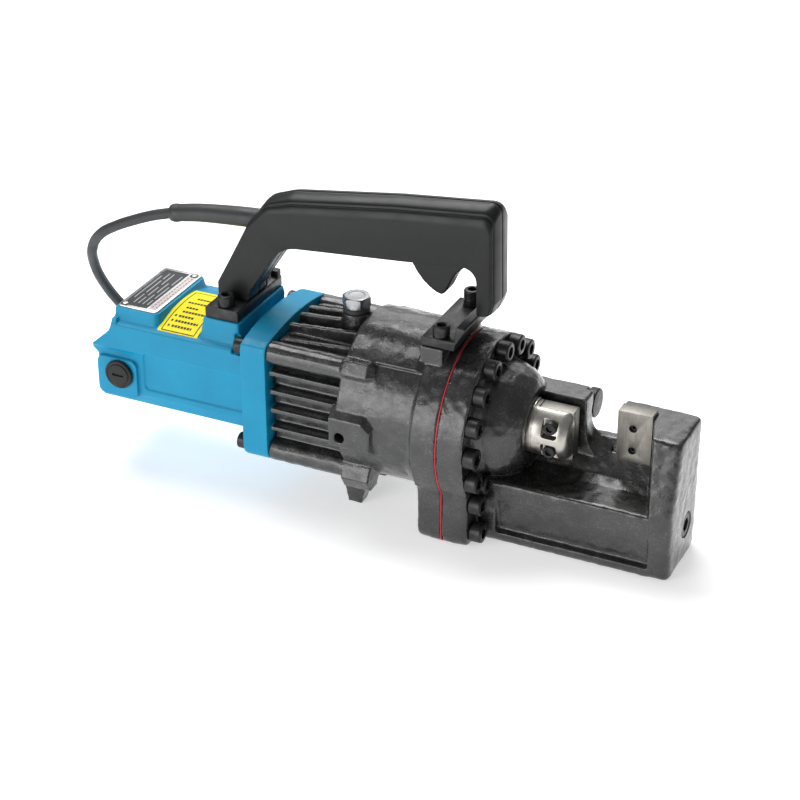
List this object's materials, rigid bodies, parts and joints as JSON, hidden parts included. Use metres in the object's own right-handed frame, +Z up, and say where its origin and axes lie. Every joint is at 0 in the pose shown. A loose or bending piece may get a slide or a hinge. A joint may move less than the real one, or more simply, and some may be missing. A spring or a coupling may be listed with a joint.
{
  "type": "metal shear",
  "caption": "Portable electro-hydraulic bar cutter: motor, pump and cylinder in line, an open jaw with a sliding and a fixed blade, a carrying handle with trigger, and a mains lead.",
  "frame": {"origin": "on the ground under the middle of the machine's length, in its symmetry plane; the mains lead is not counted", "axes": "+X from the motor to the jaw, +Z up, +Y to the side the lead's coil lies on"},
  "size_m": [0.5213, 0.2956, 0.2635],
  "materials": {
    "blue_paint": "satin paint",
    "black_casting": "rough casting, glossy dark paint",
    "black_steel": "black oxide",
    "black_plastic": "satin, fine texture",
    "rubber": "matte",
    "bright_steel": "ground",
    "blade_steel": "hardened, ground",
    "zinc": "zinc plated",
    "red_gasket": "matte fibre",
    "aluminium": "brushed plate",
    "copper": "bare",
    "carbon": "matte",
    "lamination": "varnished laminations"
  },
  "bodies": {
    "machine": {"motor_housing": "blue_paint", "bearing_plate": "blue_paint", "cylinder_body": "black_casting", "cutter_head": "black_casting", "pump_block": "black_steel", "jaw_plug": "black_steel", "front_bracket": "black_steel", "rear_bracket": "black_steel", "head_bolt_01": "black_steel", "head_bolt_02": "black_steel", "head_bolt_03": "black_steel", "head_bolt_04": "black_steel", "head_bolt_05": "black_steel", "head_bolt_06": "black_steel", "head_bolt_07": "black_steel", "head_bolt_08": "black_steel", "head_bolt_09": "black_steel", "head_bolt_10": "black_steel", "head_bolt_11": "black_steel", "housing_bolt_left_lower": "black_steel", "housing_bolt_left_upper": "black_steel", "housing_bolt_right_lower": "black_steel", "housing_bolt_right_upper": "black_steel", "front_bracket_bolt_left": "black_steel", "front_bracket_bolt_right": "black_steel", "rear_bracket_bolt_left": "black_steel", "rear_bracket_bolt_right": "black_steel", "brush_cap_left": "black_plastic", "brush_cap_right": "black_plastic", "handle_left": "black_plastic", "handle_right": "black_plastic", "switch_body": "black_plastic", "strain_relief": "rubber", "cord": "rubber", "cord_coil": "rubber", "plug": "rubber", "rear_bearing": "bright_steel", "front_bearing": "bright_steel", "pump_plunger": "bright_steel", "return_spring": "bright_steel", "fixed_blade": "blade_steel", "filler_bolt": "zinc", "head_gasket": "red_gasket", "nameplate": "aluminium", "carbon_brush_left": "carbon", "carbon_brush_right": "carbon", "stator_core": "lamination"},
    "armature": {"armature_core": "lamination", "armature_shaft": "bright_steel", "commutator": "copper", "cooling_fan": "black_plastic"},
    "pump_drive": {"reduction_gear": "bright_steel", "eccentric_shaft": "bright_steel"},
    "ram": {"ram": "bright_steel", "ram_seal": "rubber", "movable_blade": "blade_steel", "blade_screw_upper": "black_steel", "blade_screw_lower": "black_steel"},
    "stopper": {"stopper_bolt": "black_steel"},
    "trigger": {"trigger": "black_plastic"}
  },
  "joints": [
    {"name": "ram_slide", "type": "slide", "parent": "machine", "child": "ram", "axis": [1, 0, 0], "range_m": [0, 0.032], "stiffness_N_per_m": 1500, "springref_m": -0.03, "deforming": ["return_spring"]},
    {"name": "stopper_adjust", "type": "slide", "parent": "machine", "child": "stopper", "axis": [1, 0, 0], "range_m": [0, 0.018]},
    {"name": "trigger_press", "type": "slide", "parent": "machine", "child": "trigger", "axis": [0, 0, 1], "range_m": [0, 0.005], "stiffness_N_per_m": 700, "springref_m": -0.005},
    {"name": "armature_spin", "type": "hinge", "parent": "machine", "child": "armature", "pos_m": [-0.17075, 0, 0.082], "axis": [1, 0, 0], "continuous": true},
    {"name": "gear_spin", "type": "hinge", "parent": "machine", "child": "pump_drive", "pos_m": [-0.07275, 0, 0.102], "axis": [1, 0, 0], "continuous": true}
  ],
  "couplings": [
    {"joint": "gear_spin", "follows": "armature_spin", "ratio": -0.25}
  ]
}
